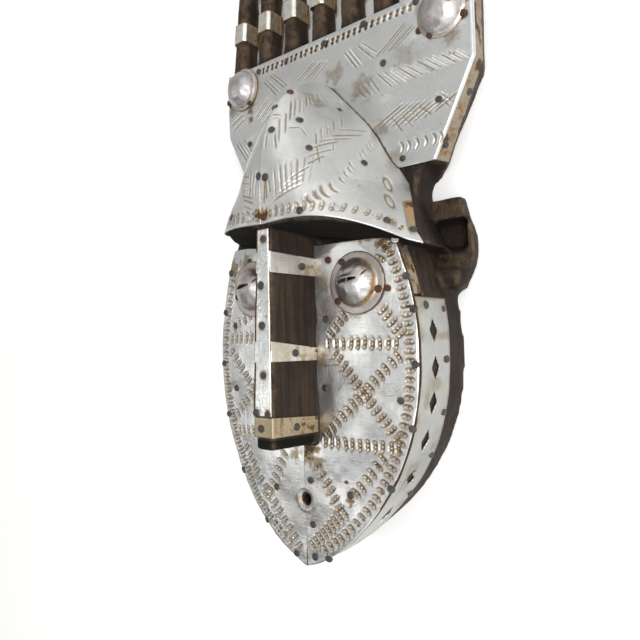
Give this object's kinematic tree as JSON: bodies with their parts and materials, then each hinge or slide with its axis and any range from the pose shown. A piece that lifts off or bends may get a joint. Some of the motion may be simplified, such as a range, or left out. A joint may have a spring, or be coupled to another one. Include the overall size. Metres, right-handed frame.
{
  "type": "ntomo mask",
  "caption": "Carved wooden face mask with a long nose, an overhanging brow and a crest of upright tines, covered in front with punched aluminium sheet.",
  "frame": {"origin": "middle of the bounding box at the flat surface the mask lies on", "axes": "+X across the mask to the viewer's right, +Y from the chin to the crest and its tines, +Z out of the face"},
  "size_m": [0.246, 0.588, 0.1156],
  "materials": {
    "dark_wood": "dark stained hardwood, matt, with tool marks and paler worn edges",
    "sheet_aluminium": "thin hammered sheet, pale grey, scratched and punched, stained brown in its corners",
    "rusty_sheet": "narrow strip with a heavy brown and rust-coloured patina",
    "band_aluminium": "bent bands, pale with a yellow cast and brown specks",
    "boss_metal": "polished and dented domes with a brown ring",
    "nail_iron": "dark iron nail heads, some rusty and a few rubbed bright"
  },
  "bodies": {
    "root": {"carved_wood": "dark_wood", "face_sheet_left": "sheet_aluminium", "face_sheet_right": "sheet_aluminium", "forehead_sheet_left": "sheet_aluminium", "forehead_sheet_right": "sheet_aluminium", "side_strip_left": "sheet_aluminium", "side_strip_right": "sheet_aluminium", "temple_strip_left": "rusty_sheet", "temple_strip_right": "rusty_sheet", "crest_sheet": "sheet_aluminium", "nose_strip": "sheet_aluminium", "nose_band_1": "band_aluminium", "nose_band_2": "band_aluminium", "nose_band_3": "band_aluminium", "tine_band_1_1": "band_aluminium", "tine_band_1_2": "band_aluminium", "tine_band_1_3": "band_aluminium", "tine_band_2_1": "band_aluminium", "tine_band_2_2": "band_aluminium", "tine_band_2_3": "band_aluminium", "tine_band_3_1": "band_aluminium", "tine_band_3_2": "band_aluminium", "tine_band_3_3": "band_aluminium", "tine_band_4_1": "band_aluminium", "tine_band_4_2": "band_aluminium", "tine_band_4_3": "band_aluminium", "tine_band_5_1": "band_aluminium", "tine_band_5_2": "band_aluminium", "tine_band_5_3": "band_aluminium", "tine_band_6_1": "band_aluminium", "tine_band_6_2": "band_aluminium", "tine_band_6_3": "band_aluminium", "tine_band_7_1": "band_aluminium", "tine_band_7_2": "band_aluminium", "tine_band_7_3": "band_aluminium", "tine_band_8_1": "band_aluminium", "tine_band_8_2": "band_aluminium", "tine_band_8_3": "band_aluminium", "eye_boss_left": "boss_metal", "eye_boss_right": "boss_metal", "crest_boss_left": "boss_metal", "crest_boss_right": "boss_metal"}
  },
  "joints": []
}
